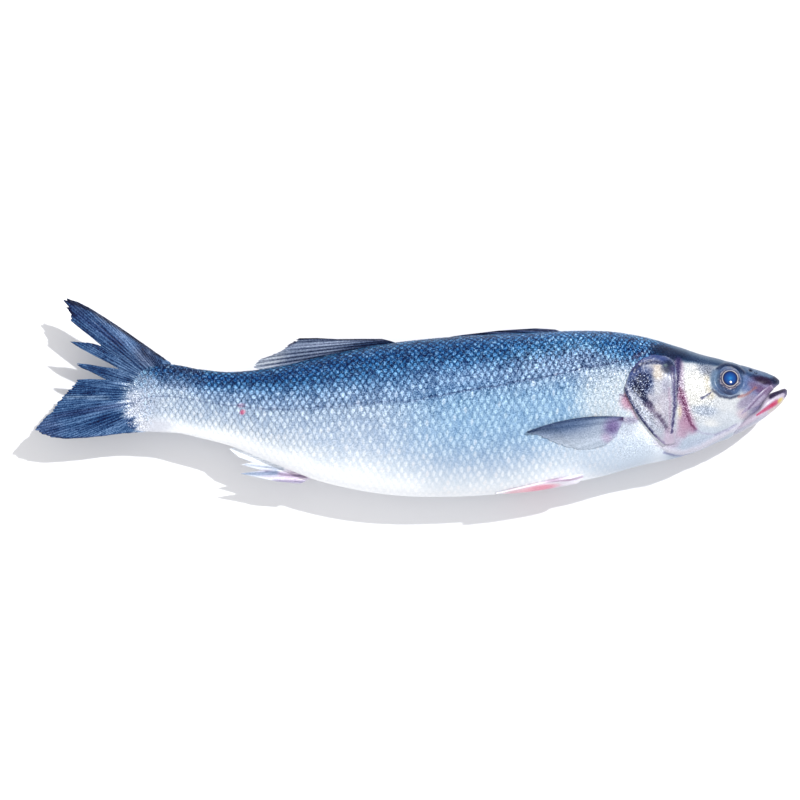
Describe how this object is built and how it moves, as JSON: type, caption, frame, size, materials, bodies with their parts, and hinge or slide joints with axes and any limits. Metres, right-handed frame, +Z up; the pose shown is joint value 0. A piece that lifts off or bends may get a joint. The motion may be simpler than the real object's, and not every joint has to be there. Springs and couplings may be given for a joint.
{
  "type": "whole raw sea bass",
  "caption": "Whole raw sea bass lying on its left flank, with folded fins, a frayed forked tail, a bony gill cover and a slightly open mouth.",
  "frame": {"origin": "on the table, under the middle of the fish's length and breadth as seen from above", "axes": "+X from the tail to the snout, +Y from the belly to the back, +Z up from the table, out of the right flank"},
  "size_m": [0.32, 0.0844, 0.0377],
  "materials": {
    "skin": "wet scaled skin, dark blue back fading to a silver white belly",
    "gill_cover": "wet silvery bone under thin skin",
    "eye": "clear wet eye with a deep blue pupil and a silver ring",
    "jaw": "wet pale skin with a pink tinge",
    "dark_fin": "damp rayed fin, dark blue",
    "pale_fin": "damp rayed fin, pale with a pink base"
  },
  "bodies": {
    "root": {"body": "skin", "gill_cover_right": "gill_cover", "gill_cover_left": "gill_cover", "eye_right": "eye", "eye_left": "eye", "maxilla_right": "jaw", "maxilla_left": "jaw", "lower_jaw": "jaw", "spiny_dorsal_fin": "dark_fin", "soft_dorsal_fin": "dark_fin", "tail_fin": "dark_fin", "anal_fin": "pale_fin", "pectoral_fin_right": "dark_fin", "pectoral_fin_left": "dark_fin", "pelvic_fin_right": "pale_fin", "pelvic_fin_left": "pale_fin"}
  },
  "joints": []
}
